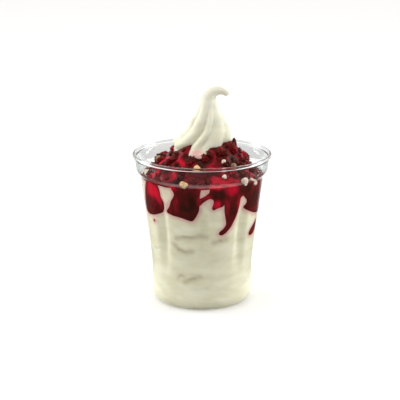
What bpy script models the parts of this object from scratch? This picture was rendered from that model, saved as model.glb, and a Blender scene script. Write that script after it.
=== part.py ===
"""Raspberry sundae in its clear cup: the cup, the soft serve with its piped peak, and the topping.

The topping is a heap of crushed berries whose sauce drips down between the soft serve and the cup.

Metres, +Z up. The origin is the middle of the foot that the cup stands on, and the front is -Y. An azimuth is
measured from the front towards +X.
"""

import math
import random

import bmesh
import bpy
from mathutils import Matrix, Vector, noise

AROUND = 48  # faces round the cup, the soft serve and the topping, a whole number of them to a flute
GAP = 0.0003  # between one solid and the next
SHARP_ANGLE = math.radians(40)

# Cup
CUP_HEIGHT = 0.100
RIM_RADIUS = 0.046
BEAD_RADIUS = 0.0012
BEAD_TURNS = (-45, 0, 45, 90, 145, 200)  # degrees round the rolled rim, from its outer side over its top
COLLAR_TOP = CUP_HEIGHT - 2.2 * BEAD_RADIUS
COLLAR_FOOT = (0.0890, 0.0436)  # height and outer radius where the collar meets the stacking ledge
LEDGE_FOOT = (0.0855, 0.0407)
WAIST = (0.0270, 0.0334)
FOOT_ROUND = 0.006
FOOT_TURNS = (0.0, math.radians(30), math.radians(60))  # where the rings of the rounded foot lie
FOOT_RADIUS = 0.0268
FOOT_RING_WIDTH = 0.0024
SIDE_RADIUS = FOOT_RADIUS + FOOT_ROUND
UNDERSIDE_RISE = 0.0014
FLOOR_TOP = 0.0024
WALL = 0.0007
FLUTES = 8
FLUTE_DEPTH = 0.0008
FLUTE_WIDTH = math.radians(19)
FLUTE_HEIGHTS = (0.0290, 0.0390, 0.0640, 0.0760)  # where a flute starts, is full, still is full, and ends
FLUTE_RINGS = (0.0290, 0.0340, 0.0390, 0.0640, 0.0700, 0.0760)

# Soft serve: height and radius from the wall up to where the peak starts to curl over
SHELF_HEIGHT = 0.0800  # where the soft serve leaves the wall under the topping
CREAM_OUTLINE = (
    (0.0803, 0.0368),
    (0.0900, 0.0284),
    (0.1000, 0.0203),
    (0.1050, 0.0186),
    (0.1085, 0.0180),
    (0.1136, 0.0157),
    (0.1190, 0.0127),
    (0.1244, 0.0102),
    (0.1304, 0.0071),
    (0.1349, 0.0055),
)
CREAM_FOOT = CREAM_OUTLINE[0][0]
CURL_START = CREAM_OUTLINE[-1][0]
DOME_STEP = 0.0045  # between the rings that the topping covers
DOME_RINGS = 6
PEAK_RINGS = (0.1060, 0.1085, 0.1110, 0.1136, 0.1166, 0.1200, 0.1236, 0.1272, 0.1310)
PEAK_LEAN = 0.0041  # how far the peak stands to the right of the cup's axis
PEAK_LEAN_HEIGHTS = (0.1040, 0.1180)
CURL_RADIUS = 0.0069
CURL_SWEEP = math.radians(152)
CURL_RINGS = (0.0, 0.17, 0.34, 0.52, 0.75, 1.0)  # shares of the sweep
CURL_TIP_RADIUS = 0.0018
CURL_THINNING = 1.0  # above 1 the curl thins sooner on the way to its tip
LOBES = 6
LOBE_DEPTH = 0.15
LOBE_HEIGHTS = (0.0990, 0.1085, 0.1270, 0.1390)
LOBE_TWIST = math.radians(75)
FIRST_LOBE = math.radians(-42)

# Topping: height and radius of the heap from the wall to the peak
TOPPING_FOOT = 0.0806
TOPPING_OUTLINE = (
    (TOPPING_FOOT, 0.0396),
    (0.0850, 0.0381),
    (0.0895, 0.0346),
    (0.0940, 0.0307),
    (0.0985, 0.0267),
    (0.1025, 0.0230),
    (0.1055, 0.0206),
    (0.1070, 0.0194),
    (0.1078, 0.0150),
)
HEAP_RINGS = (TOPPING_FOOT, 0.0845, 0.0880, 0.0920, 0.0965, 0.1007, 0.1045, 0.1070)
TOPPING_UNEVEN = 0.0021
TOPPING_BUMPS = 125.0  # bumps of about 8 mm
NOTCH_AZIMUTH = math.radians(-7)  # the dip in front, where the soft serve shows
NOTCH_HALF_WIDTH = math.radians(17)
NOTCH_DEPTH = 0.0034
NOTCH_HEIGHTS = (0.097, 0.105)
LUMP_UNEVEN = (0.82, 1.15)
LUMP_SQUASH = (1.15, 1.0, 0.8)
LUMP_REACH = LUMP_UNEVEN[1] * LUMP_SQUASH[0]  # the farthest that a lump of radius 1 can reach
BERRY_RADIUS = (0.0036, 0.0052)
BERRY_SUNK = 0.0016
BERRY_ROWS = ((0.0875, 9), (0.0923, 8), (0.0968, 7), (0.1010, 5))  # height and number of the pieces in a row
BERRY_SHIFT = 0.2  # shares of the spacing in a row
BERRY_RISE = 0.0012
SPIKE_AZIMUTH = math.radians(78)  # the tallest berry piece
SPIKE_RADIUS = 0.0215  # from the cup's axis
SPIKE_HEIGHTS = (0.0990, 0.1112)
SPIKE_THICKNESS = (0.0034, 0.0005)
SPIKE_SIDES = 7
CRUMB_RADIUS = 0.0021
CRUMB_PROUD = 0.0011
CRUMBS = (  # degrees of azimuth, and height
    (-7, 0.0968),
    (-18, 0.0880),
    (31, 0.0990),
    (25, 0.0905),
    (46, 0.0872),
    (-80, 0.0968),
    (140, 0.0915),
    (-150, 0.0930),
)

# Drips between the soft serve and the wall
DRIP_TOP = 0.0840
DRIP_DEPTH = 0.0023
DRIP_CREST = 0.62  # the share of its width that a drip keeps on the side of the soft serve
DRIP_SWAY = 1.4  # above 1 a drip turns aside more towards its foot
DRIP_SHARES = (0.0, 0.5, 1.0)  # where its sections lie on the way down
DRIP_FOOT_TURNS = (math.radians(42), math.radians(78))
DRIP_CUT_OUTWARD = 0.001  # how far the cut for a drip runs out past the side of the soft serve
DRIPS = (  # degrees of azimuth at the top and at the foot, height of the foot, width
    (-64, -63, 0.0670, 0.0100),
    (-51, -52, 0.0650, 0.0110),
    (-28, -28, 0.0680, 0.0090),
    (-19, -18, 0.0655, 0.0100),
    (-9, -10, 0.0632, 0.0090),
    (5, 4, 0.0765, 0.0080),
    (17, 15, 0.0708, 0.0064),
    (39, 19, 0.0526, 0.0064),
    (51, 50, 0.0690, 0.0096),
    (63, 62, 0.0650, 0.0110),
    (77, 76, 0.0675, 0.0090),
    (101, 102, 0.0620, 0.0095),
    (116, 115, 0.0690, 0.0110),
    (141, 148, 0.0560, 0.0064),
    (156, 157, 0.0700, 0.0100),
    (188, 186, 0.0640, 0.0100),
    (200, 201, 0.0680, 0.0090),
    (233, 229, 0.0595, 0.0075),
    (248, 248, 0.0680, 0.0110),
    (275, 276, 0.0715, 0.0090),
)

SEED = 7


def smooth(value, start, end):
    """0 up to start, 1 from end, and an S curve between them."""
    share = min(1.0, max(0.0, (value - start) / (end - start)))
    return share * share * (3 - 2 * share)


def plateau(value, marks):
    """0 outside the first and last mark, 1 between the middle two."""
    return smooth(value, marks[0], marks[1]) * (1 - smooth(value, marks[2], marks[3]))


def along(points, height):
    """The radius at a height on a smooth curve through (height, radius) points."""
    height = min(points[-1][0], max(points[0][0], height))
    upper = next(i for i in range(1, len(points)) if height <= points[i][0])
    slopes = []
    for i in (upper - 1, upper):
        low = points[max(0, i - 1)]
        high = points[min(len(points) - 1, i + 1)]
        slopes.append((high[1] - low[1]) / (high[0] - low[0]))
    start, end = points[upper - 1], points[upper]
    span = end[0] - start[0]
    t = (height - start[0]) / span
    return (
        (2 * t**3 - 3 * t**2 + 1) * start[1]
        + (t**3 - 2 * t**2 + t) * span * slopes[0]
        + (3 * t**2 - 2 * t**3) * end[1]
        + (t**3 - t**2) * span * slopes[1]
    )


def between(height, low, high):
    """The radius at a height on the straight line through two (height, radius) points."""
    return low[1] + (high[1] - low[1]) * (height - low[0]) / (high[0] - low[0])


def at(azimuth, radius, height):
    return Vector((radius * math.sin(azimuth), -radius * math.cos(azimuth), height))


def azimuths():
    return [math.tau * i / AROUND for i in range(AROUND)]


def material(name, colour, roughness, transmission=0.0):
    made = bpy.data.materials.new(name)
    made.use_nodes = True
    shader = made.node_tree.nodes["Principled BSDF"]
    shader.inputs["Base Color"].default_value = (*colour, 1.0)
    shader.inputs["Roughness"].default_value = roughness
    shader.inputs["Metallic"].default_value = 0.0
    shader.inputs["Transmission Weight"].default_value = transmission
    return made


def add_object(name, shape):
    mesh = bpy.data.meshes.new(name)
    shape.to_mesh(mesh)
    shape.free()
    added = bpy.data.objects.new(name, mesh)
    bpy.context.scene.collection.objects.link(added)
    return added


def skin(name, rings, first_pole, last_pole):
    """A closed solid through rings of points and a pole at each end. Rings that rise outside face out."""
    shape = bmesh.new()
    loops = [[shape.verts.new(point) for point in ring] for ring in rings]
    first = shape.verts.new(first_pole)
    last = shape.verts.new(last_pole)
    count = len(loops[0])
    for i in range(count):
        after = (i + 1) % count
        shape.faces.new((first, loops[0][after], loops[0][i]))
        shape.faces.new((loops[-1][i], loops[-1][after], last))
        for low, high in zip(loops, loops[1:]):
            shape.faces.new((low[i], low[after], high[after], high[i]))
    return add_object(name, shape)


def combine(target, operation, tools):
    """One Boolean of the tools on the target, applied. The tools are then removed.

    The solver is MANIFOLD because EXACT leaves open edges where so many pieces meet the heap.
    """
    group = bpy.data.collections.new("tools")
    bpy.context.scene.collection.children.link(group)
    for tool in tools:
        group.objects.link(tool)
    modifier = target.modifiers.new("combine", "BOOLEAN")
    modifier.operation = operation
    modifier.solver = "MANIFOLD"
    modifier.operand_type = "COLLECTION"
    modifier.collection = group
    with bpy.context.temp_override(object=target, active_object=target, selected_objects=[target]):
        bpy.ops.object.modifier_apply(modifier=modifier.name)
    for tool in tools:
        bpy.data.objects.remove(tool, do_unlink=True)
    bpy.data.collections.remove(group)
    drop_scraps(target)


def drop_scraps(target):
    """Keeps the largest connected body and deletes the slivers that a cut leaves loose."""
    shape = bmesh.new()
    shape.from_mesh(target.data)
    unseen = set(shape.faces)
    bodies = []
    while unseen:
        reached = [unseen.pop()]
        for face in reached:
            sides = [edge for edge in face.edges if len(edge.link_faces) == 2]
            beside = {other for edge in sides for other in edge.link_faces} & unseen
            unseen -= beside
            reached.extend(beside)
        bodies.append(reached)
    bodies.sort(key=len)
    scraps = [face for body in bodies[:-1] for face in body]
    bmesh.ops.delete(shape, geom=scraps, context="FACES")
    shape.to_mesh(target.data)
    shape.free()


# Cup


def flute(azimuth, height):
    """How far a flute presses the wall in: eight shallow upright hollows, one of them in front."""
    spacing = math.tau / FLUTES
    offset = abs((azimuth + spacing / 2) % spacing - spacing / 2)
    across = max(0.0, math.cos(math.pi * offset / FLUTE_WIDTH)) if offset < FLUTE_WIDTH / 2 else 0.0
    return FLUTE_DEPTH * across**2 * plateau(height, FLUTE_HEIGHTS)


def outer_radius(height):
    if height >= COLLAR_FOOT[0]:
        return between(height, COLLAR_FOOT, (CUP_HEIGHT, RIM_RADIUS - BEAD_RADIUS))
    if height >= LEDGE_FOOT[0]:
        return between(height, LEDGE_FOOT, COLLAR_FOOT)
    if height >= WAIST[0]:
        return between(height, WAIST, LEDGE_FOOT)
    return between(height, (FOOT_ROUND, SIDE_RADIUS), WAIST)


def cavity_radius(azimuth, height):
    return outer_radius(height) - WALL - flute(azimuth, height)


def foot_curve(turn, inset=0.0):
    """Radius and height on the rounded foot of the cavity, from the floor (turn 0) towards the wall."""
    radius = FOOT_RADIUS + (FOOT_ROUND - WALL - inset) * math.sin(turn)
    height = FOOT_ROUND - (FOOT_ROUND - FLOOR_TOP - inset) * math.cos(turn)
    return radius, height


def wall_heights():
    """The heights of the wall's rings, close together only where its outline bends."""
    return [FOOT_ROUND, WAIST[0], *FLUTE_RINGS, LEDGE_FOOT[0], COLLAR_FOOT[0], COLLAR_TOP]


def foot_outline():
    """Radius and height from the hollow under the cup, over its foot ring, to the rounded corner."""
    outline = [
        (FOOT_RADIUS - FOOT_RING_WIDTH - UNDERSIDE_RISE, UNDERSIDE_RISE),
        (FOOT_RADIUS - FOOT_RING_WIDTH, 0.0),
        (FOOT_RADIUS, 0.0),
    ]
    for turn in FOOT_TURNS[1:]:
        outline.append((FOOT_RADIUS + FOOT_ROUND * math.sin(turn), FOOT_ROUND * (1 - math.cos(turn))))
    return outline


def bead_outline():
    """Radius and height round the rolled rim."""
    outline = []
    for degrees in BEAD_TURNS:
        turn = math.radians(degrees)
        radius = RIM_RADIUS - BEAD_RADIUS + BEAD_RADIUS * math.cos(turn)
        outline.append((radius, CUP_HEIGHT - BEAD_RADIUS + BEAD_RADIUS * math.sin(turn)))
    return outline


def build_cup():
    rings = []
    for radius, height in foot_outline():
        rings.append([at(a, radius, height) for a in azimuths()])
    for height in wall_heights():
        rings.append([at(a, outer_radius(height) - flute(a, height), height) for a in azimuths()])
    for radius, height in bead_outline():
        rings.append([at(a, radius, height) for a in azimuths()])
    for height in reversed(wall_heights()):
        rings.append([at(a, cavity_radius(a, height), height) for a in azimuths()])
    for turn in reversed(FOOT_TURNS):
        rings.append([at(a, *foot_curve(turn)) for a in azimuths()])
    cup = skin("cup", rings, (0, 0, UNDERSIDE_RISE), (0, 0, FLOOR_TOP))
    clear = material("clear_plastic", colour=(0.93, 0.96, 0.96), roughness=0.06, transmission=1.0)
    cup.data.materials.append(clear)
    return cup


# Soft serve


def lobes(azimuth, height):
    """The star nozzle's round ridges with sharp valleys between them, turning as the peak rises."""
    turn = azimuth - FIRST_LOBE - LOBE_TWIST * (height - CREAM_FOOT) / (CURL_START - CREAM_FOOT)
    return 1 - LOBE_DEPTH * plateau(height, LOBE_HEIGHTS) * (1 - abs(math.cos(LOBES * turn / 2)))


def cream_ring(height, grow):
    lean = PEAK_LEAN * smooth(height, *PEAK_LEAN_HEIGHTS)
    radius = along(CREAM_OUTLINE, height)
    return [at(a, radius * lobes(a, height) + grow, height) + Vector((lean, 0, 0)) for a in azimuths()]


def curl_ring(share, grow):
    """A ring of the tip, which bends over to the right on an arc."""
    turn = CURL_SWEEP * share
    start_radius = CREAM_OUTLINE[-1][1]
    radius = CURL_TIP_RADIUS + (start_radius - CURL_TIP_RADIUS) * (1 - share) ** CURL_THINNING
    middle = Vector((
        PEAK_LEAN + CURL_RADIUS * (1 - math.cos(turn)),
        0,
        CURL_START + CURL_RADIUS * math.sin(turn),
    ))
    tilt = Matrix.Rotation(turn, 3, "Y")
    bend = CURL_START + CURL_RADIUS * turn
    return [middle + tilt @ at(a, radius * lobes(a, bend) + grow, 0) for a in azimuths()]


def build_cream(grow=0.0):
    """The soft serve before the drips are cut from it. With grow it is wider, to cut the topping."""
    rings = [[at(a, *foot_curve(turn, GAP)) for a in azimuths()] for turn in FOOT_TURNS]
    for height in (FOOT_ROUND, WAIST[0], *FLUTE_RINGS, SHELF_HEIGHT):
        rings.append([at(a, cavity_radius(a, height) - GAP + grow, height) for a in azimuths()])
    dome = [CREAM_FOOT + DOME_STEP * i for i in range(DOME_RINGS)]
    for height in (*dome, *PEAK_RINGS):
        rings.append(cream_ring(height, grow))
    for share in CURL_RINGS:
        rings.append(curl_ring(share, grow))
    tip = sum(rings[-1], Vector()) / AROUND
    beyond = Matrix.Rotation(CURL_SWEEP, 3, "Y") @ Vector((0, 0, CURL_TIP_RADIUS))
    return skin("soft_serve", rings, (0, 0, FLOOR_TOP + GAP), tip + beyond)


# Topping


def heap_ring(height):
    """A ring of the heap's uneven surface, kept off the cup's wall."""
    ring = []
    for azimuth in azimuths():
        away = abs((azimuth - NOTCH_AZIMUTH + math.pi) % math.tau - math.pi)
        dip = NOTCH_DEPTH * (1 - smooth(away, 0.5 * NOTCH_HALF_WIDTH, 1.5 * NOTCH_HALF_WIDTH))
        radius = along(TOPPING_OUTLINE, height + dip * smooth(height, *NOTCH_HEIGHTS))
        radius += TOPPING_UNEVEN * noise.noise(at(azimuth, radius, height) * TOPPING_BUMPS)
        ring.append(at(azimuth, min(radius, cavity_radius(azimuth, height) - GAP), height))
    return ring


def build_heap():
    rings = [heap_ring(height) for height in HEAP_RINGS]
    return skin("raspberry_topping", rings, (0, 0, HEAP_RINGS[0]), (0, 0, HEAP_RINGS[-1]))


def lump(middle, size, draw, subdivisions):
    """A rough piece: a ball of few faces, squashed and turned at random."""
    shape = bmesh.new()
    bmesh.ops.create_icosphere(shape, subdivisions=subdivisions, radius=size)
    for vertex in shape.verts:
        vertex.co *= draw.uniform(*LUMP_UNEVEN)
    angle = draw.uniform(0, math.tau)
    turn = Matrix.Rotation(angle, 4, Vector((draw.random(), draw.random(), draw.random())))
    squash = Matrix.Diagonal((*LUMP_SQUASH, 1.0))
    bmesh.ops.transform(shape, matrix=Matrix.Translation(middle) @ turn @ squash, verts=shape.verts)
    return add_object("lump", shape)


def berry_pieces(draw):
    pieces = []
    for row, (height, count) in enumerate(BERRY_ROWS):
        for i in range(count):
            stagger = 0.5 * (row % 2)
            azimuth = math.tau * (i + stagger + draw.uniform(-BERRY_SHIFT, BERRY_SHIFT)) / count
            size = draw.uniform(*BERRY_RADIUS)
            level = height + draw.uniform(-BERRY_RISE, BERRY_RISE)
            reach = size * LUMP_REACH + GAP
            clear_of_wall = cavity_radius(azimuth, level - reach) - reach
            radius = min(along(TOPPING_OUTLINE, level) - BERRY_SUNK, clear_of_wall)
            pieces.append(lump(at(azimuth, radius, level), size, draw, subdivisions=2))
    return pieces


def spike():
    foot, tip = SPIKE_HEIGHTS
    wide, narrow = SPIKE_THICKNESS
    shape = bmesh.new()
    bmesh.ops.create_cone(
        shape, cap_ends=True, segments=SPIKE_SIDES, radius1=wide, radius2=narrow, depth=tip - foot
    )
    bmesh.ops.translate(shape, verts=shape.verts, vec=at(SPIKE_AZIMUTH, SPIKE_RADIUS, (foot + tip) / 2))
    return add_object("spike", shape)


def crumbs(draw):
    pieces = []
    for degrees, height in CRUMBS:
        radius = along(TOPPING_OUTLINE, height) + CRUMB_PROUD
        pieces.append(lump(at(math.radians(degrees), radius, height), CRUMB_RADIUS, draw, subdivisions=1))
    return pieces


def drip_sections(drip, grow):
    """Azimuth, height, half width and depth of a drip's sections, from its top to its round foot."""
    top, foot, foot_height, width = drip
    half_width = width / 2 + grow
    depth = DRIP_DEPTH + grow
    sections = []
    for share in DRIP_SHARES:
        azimuth = math.radians(top + (foot - top) * share**DRIP_SWAY)
        height = DRIP_TOP + (foot_height + width / 2 - DRIP_TOP) * share
        sections.append((azimuth, height, half_width, depth))
    for turn in DRIP_FOOT_TURNS:
        lower = height - half_width * math.sin(turn)
        sections.append((azimuth, lower, half_width * math.cos(turn), depth * math.cos(turn)))
    return sections


def strand(drip, grow=0.0, outward=0.0):
    """A drip as a closed solid. With grow and outward it is the larger shape cut from the soft serve."""
    if outward:
        wall_side = [(-1, 0), (-1, -outward), (0, -outward), (1, -outward), (1, 0)]
    else:
        wall_side = [(-1, 0), (0, 0), (1, 0)]
    shape = bmesh.new()
    loops = []
    for azimuth, height, half_width, depth in drip_sections(drip, grow):
        loop = []
        for across, inward in (*wall_side, (DRIP_CREST, depth), (-DRIP_CREST, depth)):
            turn = azimuth + across * half_width / outer_radius(height)
            radius = cavity_radius(turn, height) - GAP - inward
            loop.append(shape.verts.new(at(turn, radius, height)))
        loops.append(loop)
    for low, high in zip(loops[1:], loops):
        for i in range(len(low)):
            after = (i + 1) % len(low)
            shape.faces.new((low[i], low[after], high[after], high[i]))
    shape.faces.new(loops[0])
    shape.faces.new(reversed(loops[-1]))
    bmesh.ops.recalc_face_normals(shape, faces=shape.faces)
    return add_object("drip", shape)


def build_topping():
    draw = random.Random(SEED)
    topping = build_heap()
    combine(topping, "UNION", [*berry_pieces(draw), spike(), *crumbs(draw)])
    combine(topping, "DIFFERENCE", [build_cream(grow=GAP)])
    combine(topping, "UNION", [strand(drip) for drip in DRIPS])
    topping.data.materials.append(material("raspberry_sauce", colour=(0.16, 0.008, 0.012), roughness=0.18))
    return topping


def build_soft_serve():
    soft_serve = build_cream()
    combine(soft_serve, "DIFFERENCE", [strand(drip, GAP, DRIP_CUT_OUTWARD) for drip in DRIPS])
    soft_serve.data.materials.append(material("soft_serve", colour=(0.86, 0.80, 0.64), roughness=0.45))
    return soft_serve


def shade(target):
    target.data.shade_smooth()
    target.data.set_sharp_from_angle(angle=SHARP_ANGLE)


def main():
    for old in list(bpy.data.objects):
        bpy.data.objects.remove(old, do_unlink=True)
    for made in (build_cup(), build_soft_serve(), build_topping()):
        shade(made)


main()
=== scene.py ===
"""Raspberry sundae in its clear cup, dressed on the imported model.

Metres, +Z up. The origin is the middle of the foot that the cup stands on, and the front is -Y. An azimuth
is in degrees from the front towards +X, so 90 is the right side and 180 the back.
"""

import math
import random

import bmesh
import bpy
from mathutils import Matrix, Vector, noise
from mathutils.bvhtree import BVHTree


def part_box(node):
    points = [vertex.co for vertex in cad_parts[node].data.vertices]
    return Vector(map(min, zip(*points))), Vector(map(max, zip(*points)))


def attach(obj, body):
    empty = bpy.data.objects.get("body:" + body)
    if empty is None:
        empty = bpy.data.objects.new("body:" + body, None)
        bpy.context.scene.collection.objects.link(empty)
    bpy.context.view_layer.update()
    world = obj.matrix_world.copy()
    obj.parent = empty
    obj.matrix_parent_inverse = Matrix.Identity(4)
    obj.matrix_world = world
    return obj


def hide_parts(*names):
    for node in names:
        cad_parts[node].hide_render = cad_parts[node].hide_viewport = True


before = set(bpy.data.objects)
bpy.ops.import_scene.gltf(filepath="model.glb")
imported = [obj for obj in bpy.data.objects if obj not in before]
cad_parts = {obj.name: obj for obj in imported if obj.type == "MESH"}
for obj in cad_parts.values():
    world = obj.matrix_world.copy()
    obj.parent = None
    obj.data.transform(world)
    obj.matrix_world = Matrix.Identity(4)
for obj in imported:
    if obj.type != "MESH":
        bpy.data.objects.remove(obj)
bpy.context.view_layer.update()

# Cup, as in the solids: (height, outer radius) where its outline bends
RIM_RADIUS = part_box("cup")[1].x
CUP_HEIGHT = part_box("cup")[1].z
WALL = 0.0007
BEAD_RADIUS = 0.0012
BEAD_TURNS = range(-60, 241, 30)  # degrees round the rolled rim, from its outer side over its top
COLLAR_TOP = CUP_HEIGHT - 2.2 * BEAD_RADIUS
COLLAR_FOOT = (0.0890, 0.0436)
LEDGE_FOOT = (0.0855, 0.0407)
LEDGE_ROUND = 0.0011
WAIST = (0.0270, 0.0334)
WAIST_ROUND = 0.0050
FOOT_ROUND = 0.0060
FOOT_RADIUS = 0.0268
SIDE_RADIUS = FOOT_RADIUS + FOOT_ROUND
FOOT_RING_WIDTH = 0.0024
UNDERSIDE_RISE = 0.0014
FLOOR_TOP = 0.0024
CUP_STEPS = 192
STEP = 360 / CUP_STEPS  # degrees
SEAM = 0.000005  # points nearer together than this are merged
LONG_EDGE = 0.004  # a straight edge of the outline is longer than this, an edge of a round corner shorter
STRETCHES = (  # of straight wall: the heights that each lies between, and its cuts
    (WAIST[0] - WAIST_ROUND, LEDGE_FOOT[0] + LEDGE_ROUND, 35),
    (FLOOR_TOP, WAIST[0], 9),
    (COLLAR_FOOT[0], CUP_HEIGHT, 7),
)
FLUTES = 8
FLUTE_PRESS = 0.0011  # how far each press goes in
FLUTE_LINES = ((0.0290, 0.0730), (0.0360, 0.0690), (0.0440, 0.0640))  # lower and upper end of each press
FLUTE_HALF_WIDTH = 0.0064
FACING = 0.2  # a face looks one way when its normal leans that way by more than this

# Soft serve: height and radius from the wall to where the peak curls over
FILL_TOP = 0.0857
FILL_EDGE = 0.0005  # how far below that the colour behind the wall ends
INTO_WALL = 0.00005  # how far what fills the cup reaches into its wall
PEAK_OUTLINE = (
    (0.0857, 0.0352), (0.0900, 0.0284), (0.1000, 0.0203), (0.1050, 0.0186), (0.1085, 0.0180),
    (0.1136, 0.0157), (0.1190, 0.0127), (0.1244, 0.0102), (0.1304, 0.0071), (0.1349, 0.0055),
)
PEAK_RING_STEP = 0.0012
PEAK_UNEVEN = 0.0006
PEAK_BUMPS = 130
UNDER_HEAP = 0.1000  # below this the soft serve stays inside the heap, by the cover
HEAP_COVER = 0.0010
RIDGES_RISE = (0.0960, 0.1085)  # heights between which the grooves of the peak begin
PEAK_LEAN = 0.0041
PEAK_LEAN_HEIGHTS = (0.1040, 0.1180)
VALLEYS = (-65, -13, 14, 75, 130, 190, 245)  # azimuths of the grooves at VALLEY_HEIGHT
VALLEY_DEPTHS = (0.16, 0.22, 0.12, 0.17, 0.15, 0.18, 0.14)  # shares of the radius
VALLEY_HEIGHT = 0.1196
GROOVE_LOSS = 0.75  # the share of their depth that the grooves lose
GROOVE_LOSS_HEIGHTS = (0.1170, 0.1350)
PEAK_TWIST = 1380.0  # degrees in a metre of height
CURL_RADIUS = 0.0069
CURL_SWEEP = 152
CURL_STEPS = 22
CURL_TIP_RADIUS = 0.0018

# Where the peak's foot spreads over the sauce: azimuth, half width, heights of its start, middle and end,
# and how far out it spreads
SPREADS = (
    (-7, 21, (0.0985, 0.1020, 0.1085), 0.0046),
    (-82, 38, (0.1035, 0.1068, 0.1100), 0.0024),
    (160, 40, (0.1020, 0.1050, 0.1090), 0.0022),
)

# Creases where folds of the soft serve don't press against the wall: (azimuth, height) points, half width
CREASES = (
    (((-28, 0.0503), (-20, 0.0514), (-12, 0.0513), (-4, 0.0520), (5, 0.0515)), 0.0018),
    (((-30, 0.0452), (-25, 0.0423), (-18, 0.0410), (-11, 0.0418)), 0.0019),
    (((-20, 0.0200), (-15, 0.0214), (-9, 0.0228), (-2, 0.0244)), 0.0017),
    (((-29, 0.0228), (-26, 0.0240), (-21, 0.0250)), 0.0012),
    (((13, 0.0482), (19, 0.0487), (26, 0.0497)), 0.0020),
)
CREASE_PROUD = 0.70  # how far a crease's cutter stands outside the wall, in half widths
CREASE_TIP = 0.25  # how thick the cutter is at its tips, in the same way
CREASE_SHADE_REACH = 1.7  # how far the painted shade darkens the soft serve beside a crease, in the same way

# Creases by chance on the sides that the photograph doesn't show
SPARE_CREASES = 20
SPARE_SEED = 23
SPARE_START = 50  # the azimuth of the first one
SPARE_SWEEP = 265
SPARE_SHIFT = 0.4  # shares of the spacing
SPARE_POINTS = 5
SPARE_CLEAR = 14  # degrees to the left and right side, where a crease would nick the outline

# Topping: height and radius of the heap from the wall to the peak
TOPPING_OUTLINE = (
    (0.0806, 0.0396), (0.0855, 0.0384), (0.0872, 0.0362), (0.0900, 0.0338), (0.0940, 0.0307),
    (0.0985, 0.0267), (0.1025, 0.0230), (0.1055, 0.0206), (0.1070, 0.0194), (0.1078, 0.0150),
)
HEAP_UNDER = 0.0007  # how far the sauce lies inside that outline, which the berry pieces fill
HEAP_CORE = 0.0160  # inside this radius the heap, which the peak hides, stays flat
HEAP_UNEVEN = 0.0016
HEAP_BUMPS = 160.0
# Where the heap lies lower: azimuth, half width, heights where the dip starts and is full, and its depth
DIPS = (
    (-7, 17, (0.0970, 0.1050), 0.0034),
    (-96, 44, (0.0960, 0.0988), 0.0048),
    (170, 40, (0.0940, 0.1020), 0.0016),
)
# Where the heap's flank is steep: azimuth, half width, radius, and the heights over which it draws in
STEEP_FLANKS = (
    (-100, 36, 0.0350, (0.0846, 0.0862)),
    (-104, 34, 0.0284, (0.0878, 0.0898)),
    (104, 22, 0.0362, (0.0846, 0.0862)),
)

# Pieces of crushed raspberry on the heap
BERRY_RADIUS = 0.0040
BERRY_KINDS = 4
BERRY_CORNERS = (0.82, 1.15)  # shares of its radius that a piece's corners are moved to
DRUPELETS = ((0.00025, 0.0009), (0.0006, 0.0004))  # insets of a face, and how far each is pushed out
BERRY_ROWS = (  # height, and number of pieces round it
    (0.0862, 22), (0.0896, 21), (0.0930, 19), (0.0963, 17), (0.0995, 15), (0.1024, 12), (0.1048, 9),
)
BERRY_SHIFT = 0.3  # shares of the spacing in a row
BERRY_RISE = 0.0012
BERRY_SIZES = (0.42, 1.0)
BERRY_SUNK = 0.0012
BERRY_REACH = 1.2 * BERRY_RADIUS  # the farthest that a piece of size 1 can reach
BERRY_TONES = (0.08, 0.16, 0.24, 0.32, 0.44, 0.66)
BERRY_SEED = 7
SQUASH = (1.12, 1.0, 0.82)
SPIKE_AZIMUTH = 78  # the tallest piece, a rough point
SPIKE_RADIUS = 0.0215  # from the cup's axis
SPIKE_HEIGHTS = (0.0990, 0.1110)
SPIKE_THICKNESS = (0.0034, 0.0006)
SPIKE_ROUGH = 0.0005

# Crumbs: kind, seed, two colours, and each crumb's azimuth, height and size
CRUMB_RADIUS = 0.0021
CRUMB_ROUGH = 0.28 * CRUMB_RADIUS
CRUMB_PROUD = 0.0009
CRUMB_TO_WALL = 0.70  # from the middle of a crumb to the wall it lies against, in crumb radii
POCKET_SHARE = 1.12  # the hollow round such a crumb, in crumb radii
CRUMBS = (
    ("golden", 3, (0.70, 0.42, 0.16), (0.92, 0.66, 0.34), (
        (-7, 0.0958, 1.2), (-17, 0.0878, 1.25), (140, 0.0915, 1.0), (200, 0.0945, 0.8),
    )),
    ("pale", 4, (0.86, 0.62, 0.50), (0.95, 0.82, 0.71), (
        (31, 0.0992, 0.75), (25, 0.0912, 0.75), (44, 0.0873, 1.25), (60, 0.0850, 1.45),
        (-150, 0.0930, 1.0), (118, 0.0900, 0.8),
    )),
    ("toasted", 5, (0.20, 0.10, 0.045), (0.46, 0.33, 0.20), (
        (44, 0.0964, 0.75), (-82, 0.0966, 0.95), (175, 0.0980, 0.8),
    )),
)

# Sauce against the wall, each drip as a closed outline of (azimuth, height in mm)
SAUCE_INTO_WALL = 0.00015
SAUCE_DEPTH = 0.0022
SAUCE_FOOT = 0.0430
LEFT_DRIP = (
    (-64, 87), (-70, 78), (-75.5, 69), (-74, 64), (-68, 62.3), (-57, 62.7), (-48, 65), (-41, 69),
    (-39.5, 73.5), (-43, 76.5), (-43, 81), (-45, 84.5), (-48, 87),
)
BROAD_DRIP = (
    (-31, 87), (-30, 84), (-26.5, 81), (-28.5, 78), (-31, 76), (-33, 71.5), (-38.5, 67.6), (-32, 66),
    (-27, 65.4), (-20, 64.8), (-13, 63.2), (-9, 62.8), (-6.5, 65.6), (-4, 69), (-3, 73), (-2, 77),
    (-2, 81), (-1, 84), (0, 87),
)
SLANTING_SMEAR = (
    (-7, 72), (-2, 73.3), (1.5, 76.2), (6, 78.3), (12, 79), (12, 84), (8, 83.5), (4, 81), (0, 79.3),
    (-7, 77.5),
)
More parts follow.
